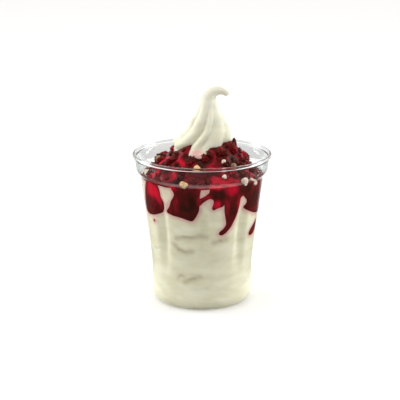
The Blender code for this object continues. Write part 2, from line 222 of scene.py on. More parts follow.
SHORT_DRIP = (
    (7.5, 87), (7, 84), (6, 81), (7.5, 78.5), (11, 77.7), (11, 75.2), (9, 71.6), (11, 70.2), (16, 72),
    (22, 72.5), (23.5, 80), (23, 87),
)
LONG_DRIP = (
    (20, 87), (20.5, 79), (22, 72), (22, 69), (24, 63.5), (25, 60), (22, 57), (17.3, 55.2), (17.2, 53.2),
    (21.5, 52.4), (26.5, 55), (30.5, 57.6), (33, 61), (36, 64.5), (38.5, 69.5), (39.5, 73), (39.5, 77.5),
    (44, 78.5), (46, 87),
)
RIGHT_DRIP = (
    (40, 87), (41, 79), (44.5, 77), (49, 75), (50.5, 71.8), (47, 69.5), (51, 67), (60, 64.2), (70, 62.4),
    (80, 62), (88, 64), (93, 72), (92, 87),
)
TEARDROP = (
    (73, 58.5), (69, 56), (62, 53.6), (58, 51.2), (58, 49), (62, 47.8), (69, 48.4), (74, 51.2), (75, 55.5),
)
DROPLET = ((-59, 59.2), (-57, 57.9), (-55, 59.2), (-57, 60.5))
FRONT_DRIPS = (LEFT_DRIP, BROAD_DRIP, SLANTING_SMEAR, SHORT_DRIP, LONG_DRIP, RIGHT_DRIP, TEARDROP, DROPLET)
OUTLINE_CUTS = 4  # in each side of a drip's outline, before it is smoothed
OUTLINE_SMOOTHING = 6
CUTTER_OUT = 0.006  # how far outside the wall a drip's cutter starts
CUTTER_LENGTH = 0.016

# Drips round the back, in the manner of the front ones
BACK_DRIPS = (101, 116, 141, 156, 188, 200, 233, 248, 275)  # azimuths
BACK_SEED = 31
BACK_TOP = 86.5  # mm

# The ring of sauce between the drips
BAND_TOP = 0.0859
BAND_FOOT = 0.0850
BAND_UNEVEN = 0.0009
BAND_WAVES = 5.5
BAND_GAPS = ((-100, 24), (104, 12))  # azimuth and half width where the soft serve shows instead
BAND_CUTTER_RADII = (0.034, 0.047)
BAND_CUTTER_TOP = 0.095

# Sauce on the wall, from 0 where it is thick to 1 where it is thin and fresh: azimuth, height in mm,
# half width in degrees, half height in mm, tone
SAUCE_TONE = 0.34
SAUCE_TONES = (
    (-55, 80.5, 11, 6, 1), (-47, 76.5, 5, 5.5, 0.92), (-60, 67, 15, 5, 0.26), (-12, 75, 13, 9, 0.02),
    (-14, 66, 16, 3.5, 0.16), (-27, 78, 4, 7, 0.50), (-28, 84.5, 5, 2.2, 0.82), (-1, 83.5, 5, 4, 0.66),
    (-3, 76.5, 3, 4.5, 0.60), (4, 79.5, 6, 2.5, 0.68), (16, 80.5, 7, 3.6, 0.06), (13, 86, 9, 1.8, 0.92),
    (14, 74, 5, 3.2, 0.88), (29, 84, 8, 5, 0.86), (25, 70, 4, 8, 0.46), (32, 71, 5, 6.5, 0.16),
    (38, 74, 2.5, 6.5, 0.60), (21, 55, 6, 2.5, 0.32), (47, 82, 8, 4, 0.10), (60, 73, 13, 7, 0.12),
    (56, 66, 12, 2.5, 0.32), (78, 72, 8, 9, 0.30), (112, 74, 9, 8, 0.10), (150, 80, 8, 6, 0.85),
    (196, 72, 9, 8, 0.06), (240, 78, 10, 7, 0.75),
)
# The same on the heap, which is mottled by chance besides
HEAP_TONE = 0.24
DARKEST_HEAP_TONE = 0.02
HEAP_MOTTLING = 1.1
HEAP_MOTTLES = 170
HEAP_TONES = (
    (22, 88, 20, 4.5, 0.85), (-46, 88.5, 10, 3, 0.52), (-68, 87, 8, 3, 0.80), (-5, 90.5, 9, 3, 0.42),
    (60, 90, 10, 4, 0.55),
)
# Where soft serve and sauce have run together: the same four measures, and how pink it is
PINK_PATCHES = (
    (4, 84.5, 6, 3.5, 0.95), (-36, 71, 4, 4.5, 0.85), (-36, 79, 6, 8, 0.30), (44, 74, 4, 4, 0.55),
    (6, 74.5, 5, 3, 0.45), (-8, 102.5, 17, 4.4, 0.85), (-2, 99, 10, 2.4, 1), (160, 103, 26, 2.6, 0.60),
)
PATCH_EDGE = (0.5, 1.2)  # between these shares of its size a patch fades out
PATCH_WANDER = 0.3
PATCH_WAVES = 320
STAIN_HEIGHTS = (0.040, 0.108)
STAIN_REACH = 0.004
STAIN_FADE = (0.0002, 0.0034)
STAIN_MOST = 0.85

# Colours
SAUCE_COLOURS = (  # by tone
    (0.00, (0.036, 0.006, 0.002)), (0.32, (0.110, 0.006, 0.006)), (0.62, (0.290, 0.007, 0.018)),
    (1.00, (0.640, 0.006, 0.028)),
)
PEAK_TOP_LIGHT_HEIGHTS = (0.1200, 0.1340)  # heights between which the top of the peak is painted paler, as painted light
PEAK_TOP_LIGHT_COLOUR = (0.90, 0.89, 0.76)
# painted shade: the colour that the soft serve is darkened to in and beside the creases
CREASE_SHADE_COLOUR = (0.65, 0.59, 0.42)
STAIN_COLOUR = (0.74, 0.30, 0.31)

# Camera, lens and sensor in mm
CAMERA_PLACE = (-0.0013, -1.06, 0.351)
CAMERA_TARGET = (-0.0013, 0.0, 0.0674)
CAMERA_LENS = 148.6
SENSOR_WIDTH = 36.0

# Studio. Where the light changes, a pair is where the change starts and where it is full
SOFT_BOXES = (  # name, place, width and height, watts
    ("left_soft_box", (-0.90, 0.34, 0.28), (0.50, 0.80), 4.6),
    ("right_soft_box", (0.90, 0.22, 0.28), (0.50, 0.80), 4.3),
    ("top_soft_box", (-0.22, -0.22, 1.00), (0.60, 0.50), 1.6),
)
LIT_PLACE = (0.0, 0.0, 0.08)
ROOM_FRONT = (-0.30, -0.85)  # Y of the direction
ROOM_LOW = (0.70, 0.30)  # Z of it
ROOM_STRENGTH = (1.15, 0.27)  # round about, and low down in front
FLOOR_SIZE = 6.0
FLOOR_WHITE = (0.82, 0.82, 0.82)
FLOOR_DIM = (0.06, 0.06, 0.06)
FLOOR_GLOW = 0.06
FLOOR_ASIDE = (0.93, 0.70)  # Y of the bearing
FLOOR_AWAY = (0.055, 0.095)  # distance from the cup's axis
FLOOR_FRONT = (0.02, -0.06)  # Y
SEEN_THROUGH = (0.38, 0.85)  # how dim the table is through the cup, near it and away from it
BOUNCED = 0.50  # how dim it is in the light that it bounces up in front


def smooth(value, start, end):
    """0 up to start, 1 from end, and an S curve between them."""
    share = min(1.0, max(0.0, (value - start) / (end - start)))
    return share * share * (3 - 2 * share)


def along(points, height):
    """The radius at a height on a smooth curve through (height, radius) points."""
    height = min(points[-1][0], max(points[0][0], height))
    upper = next(i for i in range(1, len(points)) if height <= points[i][0])
    slopes = []
    for i in (upper - 1, upper):
        low = points[max(0, i - 1)]
        high = points[min(len(points) - 1, i + 1)]
        slopes.append((high[1] - low[1]) / (high[0] - low[0]))
    start, end = points[upper - 1], points[upper]
    span = end[0] - start[0]
    t = (height - start[0]) / span
    return (
        (2 * t**3 - 3 * t**2 + 1) * start[1]
        + (t**3 - 2 * t**2 + t) * span * slopes[0]
        + (3 * t**2 - 2 * t**3) * end[1]
        + (t**3 - t**2) * span * slopes[1]
    )


def between(height, low, high):
    """The radius at a height on the straight line through two (height, radius) points."""
    return low[1] + (high[1] - low[1]) * (height - low[0]) / (high[0] - low[0])


def at(azimuth, radius, height):
    turn = math.radians(azimuth)
    return Vector((radius * math.sin(turn), -radius * math.cos(turn), height))


def azimuth_of(point):
    return math.degrees(math.atan2(point.x, -point.y))


def apart(one, other):
    """The angle in degrees between two azimuths."""
    return abs((one - other + 180) % 360 - 180)


def near(azimuth, middle, half_width, full, none):
    """1 up to full half widths from the middle azimuth, and 0 from none half widths on."""
    return 1 - smooth(apart(azimuth, middle), full * half_width, none * half_width)


def outer_radius(height):
    if height >= COLLAR_FOOT[0]:
        return between(height, COLLAR_FOOT, (CUP_HEIGHT, RIM_RADIUS - BEAD_RADIUS))
    if height >= LEDGE_FOOT[0]:
        return between(height, LEDGE_FOOT, COLLAR_FOOT)
    if height >= WAIST[0]:
        return between(height, WAIST, LEDGE_FOOT)
    return between(height, (FOOT_ROUND, SIDE_RADIUS), WAIST)


# Working with a piece as by hand


def deselect():
    bpy.ops.object.select_all(action="DESELECT")


def make_active(piece):
    deselect()
    bpy.context.view_layer.objects.active = piece
    piece.select_set(True)


def select_all():
    bpy.ops.mesh.select_all(action="SELECT")


def edit(piece):
    make_active(piece)
    bpy.ops.object.mode_set(mode="EDIT")
    select_all()


def done():
    bpy.ops.object.mode_set(mode="OBJECT")


def face_outwards():
    select_all()
    bpy.ops.mesh.normals_make_consistent(inside=False)


def pick(piece, kind, wanted):
    """Selects the verts, edges or faces of a piece in edit mode that wanted says yes to."""
    bpy.ops.mesh.select_mode(type={"verts": "VERT", "edges": "EDGE", "faces": "FACE"}[kind])
    bpy.ops.mesh.select_all(action="DESELECT")
    shape = bmesh.from_edit_mesh(piece.data)
    for element in getattr(shape, kind):
        if wanted(element):
            element.select_set(True)
    shape.select_flush_mode()
    bmesh.update_edit_mesh(piece.data)


def put_in_scene(name, data):
    added = bpy.data.objects.new(name, data)
    bpy.context.scene.collection.objects.link(added)
    return added


def name_piece(piece, name):
    piece.name = piece.data.name = name
    return piece


def add_shape(name, primitive, **measures):
    """A new piece from a primitive, with its place in its mesh."""
    deselect()
    primitive(**measures)
    bpy.ops.object.transform_apply(location=True, rotation=True, scale=True)
    return name_piece(bpy.context.object, name)


def add_ball(name, **measures):
    return add_shape(name, bpy.ops.mesh.primitive_ico_sphere_add, **measures)


def draw_wire(name, points, closed=False):
    """A wire drawn point by point from one vertex. The piece stays in edit mode."""
    piece = add_shape(name, bpy.ops.mesh.primitive_plane_add, size=0.001)
    edit(piece)
    bpy.ops.mesh.select_mode(type="VERT")
    bpy.ops.mesh.merge(type="CENTER")
    bpy.ops.transform.translate(value=points[0])
    for here, there in zip(points, points[1:]):
        step = Vector(there) - Vector(here)
        bpy.ops.mesh.extrude_vertices_move(TRANSFORM_OT_translate={"value": step})
    if closed:
        pick(piece, "verts", lambda v: len(v.link_edges) == 1)
        bpy.ops.mesh.edge_face_add()
    return piece


def round_corner(piece, place, size, segments):
    """Rounds the wire's corner nearest to a place."""
    shape = bmesh.from_edit_mesh(piece.data)
    nearest = min(shape.verts, key=lambda v: (v.co - Vector(place)).length).index
    pick(piece, "verts", lambda v: v.index == nearest)
    bpy.ops.mesh.bevel(offset=size, segments=segments, affect="VERTICES")


def spin_round():
    """Turns the wire round the cup's axis, merges the seam and the poles, and faces it outwards."""
    select_all()
    bpy.ops.mesh.spin(steps=CUP_STEPS, angle=math.tau, center=(0, 0, 0), axis=(0, 0, 1))
    select_all()
    bpy.ops.mesh.remove_doubles(threshold=SEAM)
    face_outwards()


def copy_piece(piece, name):
    return name_piece(put_in_scene(name, piece.data.copy()), name)


def apply_modifiers(piece):
    make_active(piece)
    for modifier in list(piece.modifiers):
        bpy.ops.object.modifier_apply(modifier=modifier.name)


def round_off(piece, levels):
    rounded = piece.modifiers.new("rounded", "SUBSURF")
    rounded.levels = rounded.render_levels = levels
    apply_modifiers(piece)


def combine(target, operation, tools):
    """One Boolean of the tools on the target, applied. The tools are then removed."""
    group = bpy.data.collections.new("tools")
    bpy.context.scene.collection.children.link(group)
    for tool in tools:
        group.objects.link(tool)
    modifier = target.modifiers.new("combine", "BOOLEAN")
    modifier.operation = operation
    modifier.solver = "MANIFOLD"
    modifier.operand_type = "COLLECTION"
    modifier.collection = group
    apply_modifiers(target)
    remove(tools)
    bpy.data.collections.remove(group)


def join(name, pieces):
    deselect()
    for piece in pieces:
        piece.select_set(True)
    bpy.context.view_layer.objects.active = pieces[0]
    bpy.ops.object.join()
    return name_piece(pieces[0], name)


def remove(pieces):
    for piece in pieces:
        bpy.data.objects.remove(piece, do_unlink=True)


def paint(piece, finish, degrees=60):
    """One finish all over a piece, smooth but for edges sharper than the angle. A Boolean leaves empty
    material slots, so they go first."""
    make_active(piece)
    bpy.ops.object.shade_smooth_by_angle(angle=math.radians(degrees))
    piece.data.materials.clear()
    piece.data.materials.append(finish)
    piece.data.polygons.foreach_set("material_index", [0] * len(piece.data.polygons))


def mark(piece, name, value_at):
    """A value for each vertex that the material reads."""
    made = piece.data.attributes.new(name, "FLOAT", "POINT")
    made.data.foreach_set("value", [value_at(v.co) for v in piece.data.vertices])


def finish_piece(piece, slot, *nodes):
    if nodes:
        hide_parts(*nodes)
    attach(piece, "root")


# Materials


def feed(tree, socket, value):
    """Links a socket to another one, or sets it to a number, a vector or a colour without its alpha."""
    if isinstance(value, bpy.types.NodeSocket):
        tree.links.new(value, socket)
    elif socket.type == "RGBA":
        socket.default_value = (*value, 1.0)
    else:
        socket.default_value = value


def feed_inputs(tree, node, **inputs):
    for key, value in inputs.items():
        feed(tree, node.inputs[key.replace("_", " ")], value)


def new_material(name, **inputs):
    made = bpy.data.materials.new(name)
    made.use_nodes = True
    shader = made.node_tree.nodes["Principled BSDF"]
    feed_inputs(made.node_tree, shader, **inputs)
    return made, made.node_tree, shader


def feed_in_order(tree, node, *inputs):
    for number, value in enumerate(inputs):
        feed(tree, node.inputs[number], value)
    return node.outputs[0]


def add_node(tree, kind, settings=None, **inputs):
    added = tree.nodes.new(kind)
    for key, value in (settings or {}).items():
        setattr(added, key, value)
    feed_inputs(tree, added, **inputs)
    return added


def object_place(tree, stretch=None):
    """Object coordinates. With a stretch below 1 a pattern is drawn out along that axis."""
    place = add_node(tree, "ShaderNodeTexCoord").outputs["Object"]
    if stretch is None:
        return place
    return add_node(tree, "ShaderNodeMapping", Vector=place, Scale=stretch).outputs["Vector"]


def part_of(tree, vector, axis):
    return add_node(tree, "ShaderNodeSeparateXYZ", Vector=vector).outputs[axis]


def grain(tree, place, scale, detail=3.0, roughness=0.5):
    settings = {"Vector": place, "Scale": scale, "Detail": detail, "Roughness": roughness}
    return add_node(tree, "ShaderNodeTexNoise", **settings).outputs["Fac"]


def spread(tree, value, low, high, to_low=0.0, to_high=1.0):
    """The value's range from low to high, laid on another range."""
    ranges = {"From_Min": low, "From_Max": high, "To_Min": to_low, "To_Max": to_high}
    return add_node(tree, "ShaderNodeMapRange", Value=value, **ranges).outputs["Result"]


def blend_colours(tree, share, one, other):
    mixed = add_node(tree, "ShaderNodeMix", {"data_type": "RGBA"})
    for number, value in ((0, share), (6, one), (7, other)):
        feed(tree, mixed.inputs[number], value)
    return mixed.outputs[2]


def mix_shaders(tree, share, one, other):
    return feed_in_order(tree, add_node(tree, "ShaderNodeMixShader"), share, one, other)


def calculate(tree, operation, one, other):
    """The sum, product or difference of two values, kept from 0 to 1."""
    worked = add_node(tree, "ShaderNodeMath", {"operation": operation, "use_clamp": True})
    return feed_in_order(tree, worked, one, other)


def add(tree, one, other):
    return calculate(tree, "ADD", one, other)


def multiply(tree, one, other):
    return calculate(tree, "MULTIPLY", one, other)


def attribute(tree, name):
    return add_node(tree, "ShaderNodeAttribute", {"attribute_name": name}).outputs["Fac"]


def relief(tree, shader, height, strength, distance):
    bump = add_node(tree, "ShaderNodeBump", Height=height, Strength=strength, Distance=distance)
    feed_inputs(tree, shader, Normal=bump.outputs["Normal"])


def clear_plastic_finish():
    """Clear plastic that light and shadow pass through."""
    look = {"Base_Color": (0.935, 0.955, 0.952), "Roughness": 0.03, "IOR": 1.46, "Transmission_Weight": 1.0}
    made, tree, shader = new_material("thin_clear_plastic", **look)
    relief(tree, shader, grain(tree, object_place(tree), 55.0, detail=2.0), 0.05, 0.0004)
    see_through = add_node(tree, "ShaderNodeBsdfTransparent").outputs[0]
    path = add_node(tree, "ShaderNodeLightPath").outputs
    last = shader.outputs[0]
    for ray in ("Is Shadow Ray", "Is Diffuse Ray"):
        last = mix_shaders(tree, path[ray], last, see_through)
    feed_inputs(tree, tree.nodes["Material Output"], Surface=last)
    return made


def soft_serve_finish(name, pale, deep, specular):
    """Soft serve: painted paler towards the top of the peak as painted light, darkened in and beside the
    creases as painted shade, and pink where it is stained.
    """
    milky = {"Subsurface_Weight": 0.4, "Subsurface_Radius": (1.0, 0.8, 0.5), "Subsurface_Scale": 0.003}
    made, tree, shader = new_material(name, Specular_IOR_Level=specular, **milky)
    place = object_place(tree)
    layers = grain(tree, object_place(tree, (1.0, 1.0, 2.4)), 75.0, detail=5.0, roughness=0.55)
    base = blend_colours(tree, spread(tree, layers, 0.36, 0.66), pale, deep)
    # painted light: the top of the peak is painted paler
    top_light = spread(tree, part_of(tree, place, "Z"), *PEAK_TOP_LIGHT_HEIGHTS, 0.0, 0.75)
    base = blend_colours(tree, top_light, base, PEAK_TOP_LIGHT_COLOUR)
    # painted shade: darker in and beside the creases
    base = blend_colours(tree, attribute(tree, "crease_shade"), base, CREASE_SHADE_COLOUR)
    streaks = spread(tree, grain(tree, place, 320.0, detail=6.0, roughness=0.65), 0.3, 0.7)
    stain = multiply(tree, attribute(tree, "stain"), spread(tree, streaks, 0.0, 1.0, 0.50, 0.95))
    base = blend_colours(tree, stain, base, STAIN_COLOUR)
    feed_inputs(tree, shader, Base_Color=base, Roughness=spread(tree, streaks, 0.0, 1.0, 0.34, 0.52))
    ice = multiply(tree, grain(tree, place, 1400.0, detail=2.0), 0.25)
    folds = multiply(tree, grain(tree, place, 240.0), 0.75)
    relief(tree, shader, add(tree, ice, folds), 0.35, 0.0005)
    return made


def sauce_finish(name, specular, mottling):
    """Raspberry sauce, whose colour runs with the tone attribute and streaks that hang down."""
    deep = {"Subsurface_Weight": 0.12, "Subsurface_Radius": (1.0, 0.15, 0.15), "Subsurface_Scale": 0.002}
    made, tree, shader = new_material(name, Specular_IOR_Level=specular, **deep)
    hanging = object_place(tree, (1.0, 1.0, 0.38))
    streaks = grain(tree, hanging, 330.0, detail=5.0, roughness=0.6)
    streaks = spread(tree, streaks, 0.32, 0.68, -mottling, mottling)
    ramp = add_node(tree, "ShaderNodeValToRGB", Fac=add(tree, attribute(tree, "tone"), streaks))
    stops = ramp.color_ramp.elements
    while len(stops) < len(SAUCE_COLOURS):
        stops.new(0.5)
    for stop, (position, colour) in zip(stops, SAUCE_COLOURS):
        stop.position = position
        stop.color = (*colour, 1.0)
    fine = grain(tree, object_place(tree), 700.0)
    sheen = spread(tree, fine, 0.3, 0.7, 0.12, 0.30)
    feed_inputs(tree, shader, Base_Color=ramp.outputs["Color"], Roughness=sheen)
    relief(tree, shader, fine, 0.4, 0.0004)
    return made


def crumb_finish(name, one, other):
    """Dry crumbs, mottled between two colours."""
    made, tree, shader = new_material(name, Specular_IOR_Level=0.3)
    place = object_place(tree)
    tone = spread(tree, grain(tree, place, 600.0, detail=4.0, roughness=0.6), 0.35, 0.65)
    sheen = spread(tree, tone, 0.0, 1.0, 0.45, 0.75)
    feed_inputs(tree, shader, Base_Color=blend_colours(tree, tone, one, other), Roughness=sheen)
    relief(tree, shader, grain(tree, place, 1500.0, detail=4.0), 0.6, 0.0004)
    return made


# Camera, floor and light


def place_in_scene(name, data, place, target):
    """A camera or a light at a place, turned to a target."""
    added = put_in_scene(name, data)
    added.location = place
    added.rotation_euler = (Vector(target) - Vector(place)).to_track_quat("-Z", "Y").to_euler()
    return added


def set_camera():
    lens = bpy.data.cameras.new("camera")
    lens.lens = CAMERA_LENS
    lens.sensor_width = SENSOR_WIDTH
    lens.clip_start = 0.01
    bpy.context.scene.camera = place_in_scene("camera", lens, CAMERA_PLACE, CAMERA_TARGET)
    bpy.context.scene.view_settings.view_transform = "Standard"


def set_world():
    """Plain white to the camera. To the sundae it is bright all round, and dimmer low down in front."""
    world = bpy.data.worlds.new("studio")
    world.use_nodes = True
    bpy.context.scene.world = world
    tree = world.node_tree
    tree.nodes.clear()
    direction = add_node(tree, "ShaderNodeTexCoord").outputs["Generated"]
    front = spread(tree, part_of(tree, direction, "Y"), *ROOM_FRONT)
    low = spread(tree, part_of(tree, direction, "Z"), *ROOM_LOW)
    strength = spread(tree, multiply(tree, front, low), 0.0, 1.0, *ROOM_STRENGTH)
    room = add_node(tree, "ShaderNodeBackground", Color=(1.0, 0.99, 0.97), Strength=strength)
    backdrop = add_node(tree, "ShaderNodeBackground", Color=(1.0, 1.0, 1.0))
    seen = add_node(tree, "ShaderNodeLightPath").outputs["Is Camera Ray"]
    mixed = mix_shaders(tree, seen, room.outputs[0], backdrop.outputs[0])
    add_node(tree, "ShaderNodeOutputWorld", Surface=mixed)


def set_floor():
    """A white table. It is dimmer in what the cup mirrors and shows through beside the sundae, and in the
    light that it bounces up in front, so that the clear wall doesn't look milky."""
    floor = add_shape("floor", bpy.ops.mesh.primitive_plane_add, size=FLOOR_SIZE)
    made, tree, shader = new_material("white_table")
    tree.nodes.remove(shader)
    lit = add_node(tree, "ShaderNodeBsdfDiffuse", Color=FLOOR_WHITE)
    glow = add_node(tree, "ShaderNodeEmission", Strength=FLOOR_GLOW)
    white = feed_in_order(tree, add_node(tree, "ShaderNodeAddShader"), lit.outputs[0], glow.outputs[0])
    dim = add_node(tree, "ShaderNodeBsdfDiffuse", Color=FLOOR_DIM)
    path = add_node(tree, "ShaderNodeLightPath").outputs
    place = object_place(tree)
    bearing = add_node(tree, "ShaderNodeVectorMath", {"operation": "NORMALIZE"}, Vector=place)
    distance = add_node(tree, "ShaderNodeVectorMath", {"operation": "LENGTH"}, Vector=place)
    aside = spread(tree, part_of(tree, bearing.outputs["Vector"], "Y"), *FLOOR_ASIDE)
    away = spread(tree, distance.outputs["Value"], *FLOOR_AWAY)
    aside_and_away = multiply(tree, aside, away)
    in_front = spread(tree, part_of(tree, place, "Y"), *FLOOR_FRONT)
    only_glossy = calculate(tree, "SUBTRACT", path["Is Glossy Ray"], path["Is Transmission Ray"])
    mirrored = multiply(tree, only_glossy, aside_and_away)
    bounced = multiply(tree, multiply(tree, path["Is Diffuse Ray"], in_front), BOUNCED)
    through = spread(tree, aside_and_away, 0.0, 1.0, *SEEN_THROUGH)
    through = multiply(tree, path["Is Transmission Ray"], through)
    share = add(tree, add(tree, mirrored, bounced), through)
    mixed = mix_shaders(tree, share, white, dim.outputs[0])
    feed_inputs(tree, tree.nodes["Material Output"], Surface=mixed)
    floor.data.materials.append(made)


def set_lights():
    for name, place, size, power in SOFT_BOXES:
        lamp = bpy.data.lights.new(name, "AREA")
        lamp.shape = "RECTANGLE"
        lamp.size, lamp.size_y = size
        lamp.energy = power
        place_in_scene(name, lamp, place, LIT_PLACE)


# Cup


def cup_corners():
    """Radius and height from the middle of the underside, over the rim, to the middle inside."""
    ring = FOOT_RADIUS - FOOT_RING_WIDTH
    foot = [(0.0, UNDERSIDE_RISE), (ring - UNDERSIDE_RISE, UNDERSIDE_RISE), (ring, 0.0), (SIDE_RADIUS, 0.0)]
    side = [(radius, height) for height, radius in (WAIST, LEDGE_FOOT, COLLAR_FOOT)]
    side.append((outer_radius(COLLAR_TOP), COLLAR_TOP))
    bead = []
    for degrees in BEAD_TURNS:
        turn = math.radians(degrees)
        radius = RIM_RADIUS - BEAD_RADIUS + BEAD_RADIUS * math.cos(turn)
        bead.append((radius, CUP_HEIGHT - BEAD_RADIUS + BEAD_RADIUS * math.sin(turn)))
    inside = [(radius - WALL, height) for radius, height in reversed(side)]
    return foot + side + bead + inside + [(SIDE_RADIUS - WALL, FLOOR_TOP), (0.0, FLOOR_TOP)]


def cut_stretch(cup, bottom, top, cuts):
    """Cuts the long edges of the cup's outline between two heights."""

    def is_long(edge):
        low, high = sorted(v.co.z for v in edge.verts)
        return low > bottom and high < top and high - low > LONG_EDGE

    pick(cup, "edges", is_long)
    bpy.ops.mesh.subdivide(number_cuts=cuts)


def press_flute(cup, azimuth, foot, top):
    """Pushes the wall in along an upright line, and less and less beside it."""

    def is_on_line(vertex):
        is_wall = foot < vertex.co.z < top and vertex.co.xy.length > WAIST[1] - 3 * WALL
        return is_wall and apart(azimuth_of(vertex.co), azimuth) < STEP / 4

    pick(cup, "verts", is_on_line)
    bpy.ops.transform.translate(
        value=-at(azimuth, FLUTE_PRESS, 0),
        use_proportional_edit=True,
        proportional_edit_falloff="SMOOTH",
        proportional_size=FLUTE_HALF_WIDTH,
    )


def build_cup():
    cup = draw_wire("clear_cup", [(radius, 0.0, height) for radius, height in cup_corners()])
    for wall in (0.0, WALL):
        for height, radius in (LEDGE_FOOT, COLLAR_FOOT):
            round_corner(cup, (radius - wall, 0, height), LEDGE_ROUND, 4)
        round_corner(cup, (WAIST[1] - wall, 0, WAIST[0]), WAIST_ROUND, 4)
    round_corner(cup, (SIDE_RADIUS, 0, 0), FOOT_ROUND, 8)
    round_corner(cup, (SIDE_RADIUS - WALL, 0, FLOOR_TOP), FOOT_ROUND - WALL, 8)
    round_corner(cup, (FOOT_RADIUS - FOOT_RING_WIDTH, 0, 0), UNDERSIDE_RISE / 2, 3)
    for stretch in STRETCHES:
        cut_stretch(cup, *stretch)
    spin_round()
    for number in range(FLUTES):
        for foot, top in FLUTE_LINES:
            press_flute(cup, 360 * number / FLUTES, foot, top)
    done()
    paint(cup, clear_plastic_finish(), 40)
    return cup


def is_lining(face):
    """Whether what fills the cup touches this face of it."""
    middle = face.calc_center_median()
    looks_inwards = face.normal.dot(at(azimuth_of(middle), 1, 0)) < -FACING
    is_floor = face.normal.z > FACING and middle.z < FLOOR_TOP + FOOT_ROUND
    return middle.z > FLOOR_TOP - WALL / 3 and (looks_inwards or is_floor)


def lining_of(cup, name, into_wall, top):
    """A copy of the inside of the cup up to a height, facing outwards, in edit mode."""
    lining = copy_piece(cup, name)
    edit(lining)
    pick(lining, "faces", lambda f: not is_lining(f))
    bpy.ops.mesh.delete(type="FACE")
    select_all()
    bpy.ops.mesh.bisect(plane_co=(0, 0, top), plane_no=(0, 0, 1), clear_outer=True)
    select_all()
    bpy.ops.mesh.flip_normals()
    bpy.ops.transform.shrink_fatten(value=into_wall)
    return lining


def inside_of(cup):
    """The room inside the cup as a solid, to trim what is pressed against the wall."""
    room = lining_of(cup, "room", INTO_WALL, (COLLAR_FOOT[0] + COLLAR_TOP) / 2)
    pick(room, "edges", lambda e: len(e.link_faces) == 1)
    bpy.ops.mesh.edge_face_add()
    face_outwards()
    done()
    return room


# Tones and stains


def inside_patch(point, azimuth, height, half_width, half_height):
    """1 in the middle of a patch, 0 outside it, with a wandering edge between."""
    across = apart(azimuth_of(point), azimuth) / half_width
    up = (point.z * 1000 - height) / half_height
    wander = 1 + PATCH_WANDER * noise.noise(point * PATCH_WAVES)
    return 1 - smooth(math.hypot(across, up) * wander, *PATCH_EDGE)


def patched(tone, point, patches):
    """A tone with the patches laid over it one after another."""
    for *patch, patch_tone in patches:
        tone += (patch_tone - tone) * inside_patch(point, *patch)
    return tone


def sauce_tone(point):
    return patched(SAUCE_TONE, point, SAUCE_TONES)


def heap_tone(point):
    mottled = HEAP_TONE + HEAP_MOTTLING * noise.noise(point * HEAP_MOTTLES)
    return patched(max(DARKEST_HEAP_TONE, mottled), point, HEAP_TONES)


def painted_crease_shade(point):
    """Painted shade for the creases: 1 in the middle of a crease, where the soft serve stands off the wall,
    and 0 away from it.
    """
    if point.z > FILL_TOP:
        return 0.0
    azimuth = azimuth_of(point)
    nearest = CREASE_SHADE_REACH
    for points, half_width in CREASES:
        for (start, low), (end, high) in zip(points, points[1:]):
            for share in (0.0, 0.25, 0.5, 0.75, 1.0):
                across = math.radians(apart(azimuth, start + (end - start) * share)) * point.xy.length
                away = math.hypot(across, point.z - low - (high - low) * share)
                nearest = min(nearest, away / half_width)
    return 1 - smooth(nearest, 0.0, CREASE_SHADE_REACH)


def stain_from(sauce):
    """How pink the soft serve is, close to the sauce and in the pink patches."""
    shape = bmesh.new()
    shape.from_mesh(sauce.data)
    tree = BVHTree.FromBMesh(shape)
    shape.free()

    def stain(point):
        if not STAIN_HEIGHTS[0] <= point.z <= STAIN_HEIGHTS[1]:
            return 0.0
        distance = tree.find_nearest(point, STAIN_REACH)[3]
        share = 0.0 if distance is None else STAIN_MOST * (1 - smooth(distance, *STAIN_FADE))
        for *patch, amount in PINK_PATCHES:
            share = max(share, amount * inside_patch(point, *patch))
        return share

    return stain


# Heap of crushed raspberries


def heap_radius(azimuth, height):
    dip = 0.0
    for middle, half_width, heights, depth in DIPS:
        dip = max(dip, depth * near(azimuth, middle, half_width, 0.5, 1.5) * smooth(height, *heights))
    radius = along(TOPPING_OUTLINE, height + dip) - HEAP_UNDER
    for middle, half_width, steep, heights in STEEP_FLANKS:
        across = near(azimuth, middle, half_width, 0.5, 1.5)
        radius -= max(0.0, radius - steep) * across * smooth(height, *heights)
    return radius


def build_heap():
    bottom, top = TOPPING_OUTLINE[0][0], TOPPING_OUTLINE[-1][0]
    side = [(radius, 0, height) for height, radius in TOPPING_OUTLINE]
    heap = draw_wire("sauce_heap", [(0, 0, bottom), *side, (0, 0, top)])
    pick(heap, "edges", lambda e: min(v.co.xy.length for v in e.verts) > SEAM)
    bpy.ops.mesh.subdivide(number_cuts=3)
    spin_round()
    done()
    for vertex in heap.data.vertices:
        azimuth = azimuth_of(vertex.co)
        height = vertex.co.z
        if vertex.co.xy.length > HEAP_CORE:
            bump = HEAP_UNEVEN * noise.turbulence(vertex.co * HEAP_BUMPS, 3, False)
            radius = heap_radius(azimuth, height) + bump
            vertex.co = at(azimuth, min(radius, outer_radius(height) - WALL), height)
    mark(heap, "tone", heap_tone)
    paint(heap, sauce_finish("glossy_sauce", specular=0.05, mottling=0.12))
    return heap


def drupelet_cluster(number, draw):
    """A piece of crushed raspberry: a ball whose faces are inset and pushed out into drupelets."""
    is_fine = number % 2 == 1
    berry = add_ball(f"berry_{number}", subdivisions=2 if is_fine else 1, radius=BERRY_RADIUS)
    edit(berry)
    shape = bmesh.from_edit_mesh(berry.data)
    for vertex in shape.verts:
        vertex.co *= draw.uniform(*BERRY_CORNERS)
    bmesh.update_edit_mesh(berry.data)
    if is_fine:
        bpy.ops.mesh.decimate(ratio=0.5)
    bpy.ops.mesh.select_mode(type="FACE")
    select_all()
    for inset, push in DRUPELETS:
        bpy.ops.mesh.inset(thickness=inset, use_individual=True)
        bpy.ops.transform.shrink_fatten(value=push)
    done()
    round_off(berry, 1)
    return berry


